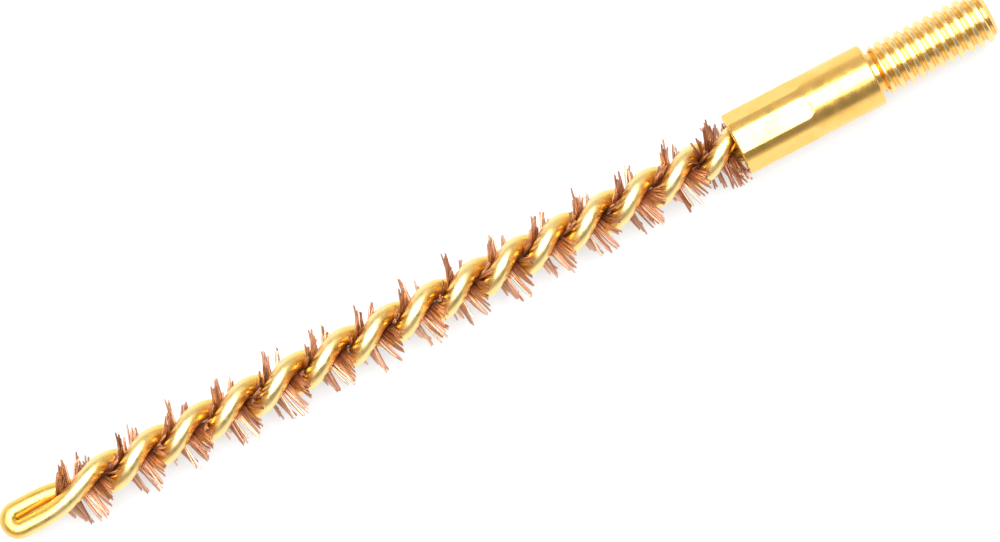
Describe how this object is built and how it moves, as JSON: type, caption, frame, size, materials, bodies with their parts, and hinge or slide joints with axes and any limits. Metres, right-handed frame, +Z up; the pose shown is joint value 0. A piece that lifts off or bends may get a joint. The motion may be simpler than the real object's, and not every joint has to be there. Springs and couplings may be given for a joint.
{
  "type": "threaded twisted-wire cleaning brush",
  "caption": "Slim brass cleaning brush: a hairpin of twisted wire grips a spiral of short bronze bristles and is crimped into a ferrule with an external thread.",
  "frame": {"origin": "centre of the ferrule's flat shoulder, behind the thread", "axes": "+X along the brush towards the free end of the thread, +Z up from the surface the brush lies on"},
  "size_m": [0.0643, 0.0048, 0.0048],
  "materials": {
    "ferrule_brass": "bright turned brass",
    "wire_brass": "bright drawn brass wire",
    "bristle_bronze": "fine reddish bronze wire, cut ends"
  },
  "bodies": {
    "root": {"ferrule": "ferrule_brass", "core_wire": "wire_brass", "bristle_row_01": "bristle_bronze", "bristle_row_02": "bristle_bronze", "bristle_row_03": "bristle_bronze", "bristle_row_04": "bristle_bronze", "bristle_row_05": "bristle_bronze", "bristle_row_06": "bristle_bronze", "bristle_row_07": "bristle_bronze", "bristle_row_08": "bristle_bronze", "bristle_row_09": "bristle_bronze", "bristle_row_10": "bristle_bronze", "bristle_row_11": "bristle_bronze", "bristle_row_12": "bristle_bronze", "bristle_row_13": "bristle_bronze", "bristle_row_14": "bristle_bronze", "bristle_row_15": "bristle_bronze"}
  },
  "joints": []
}
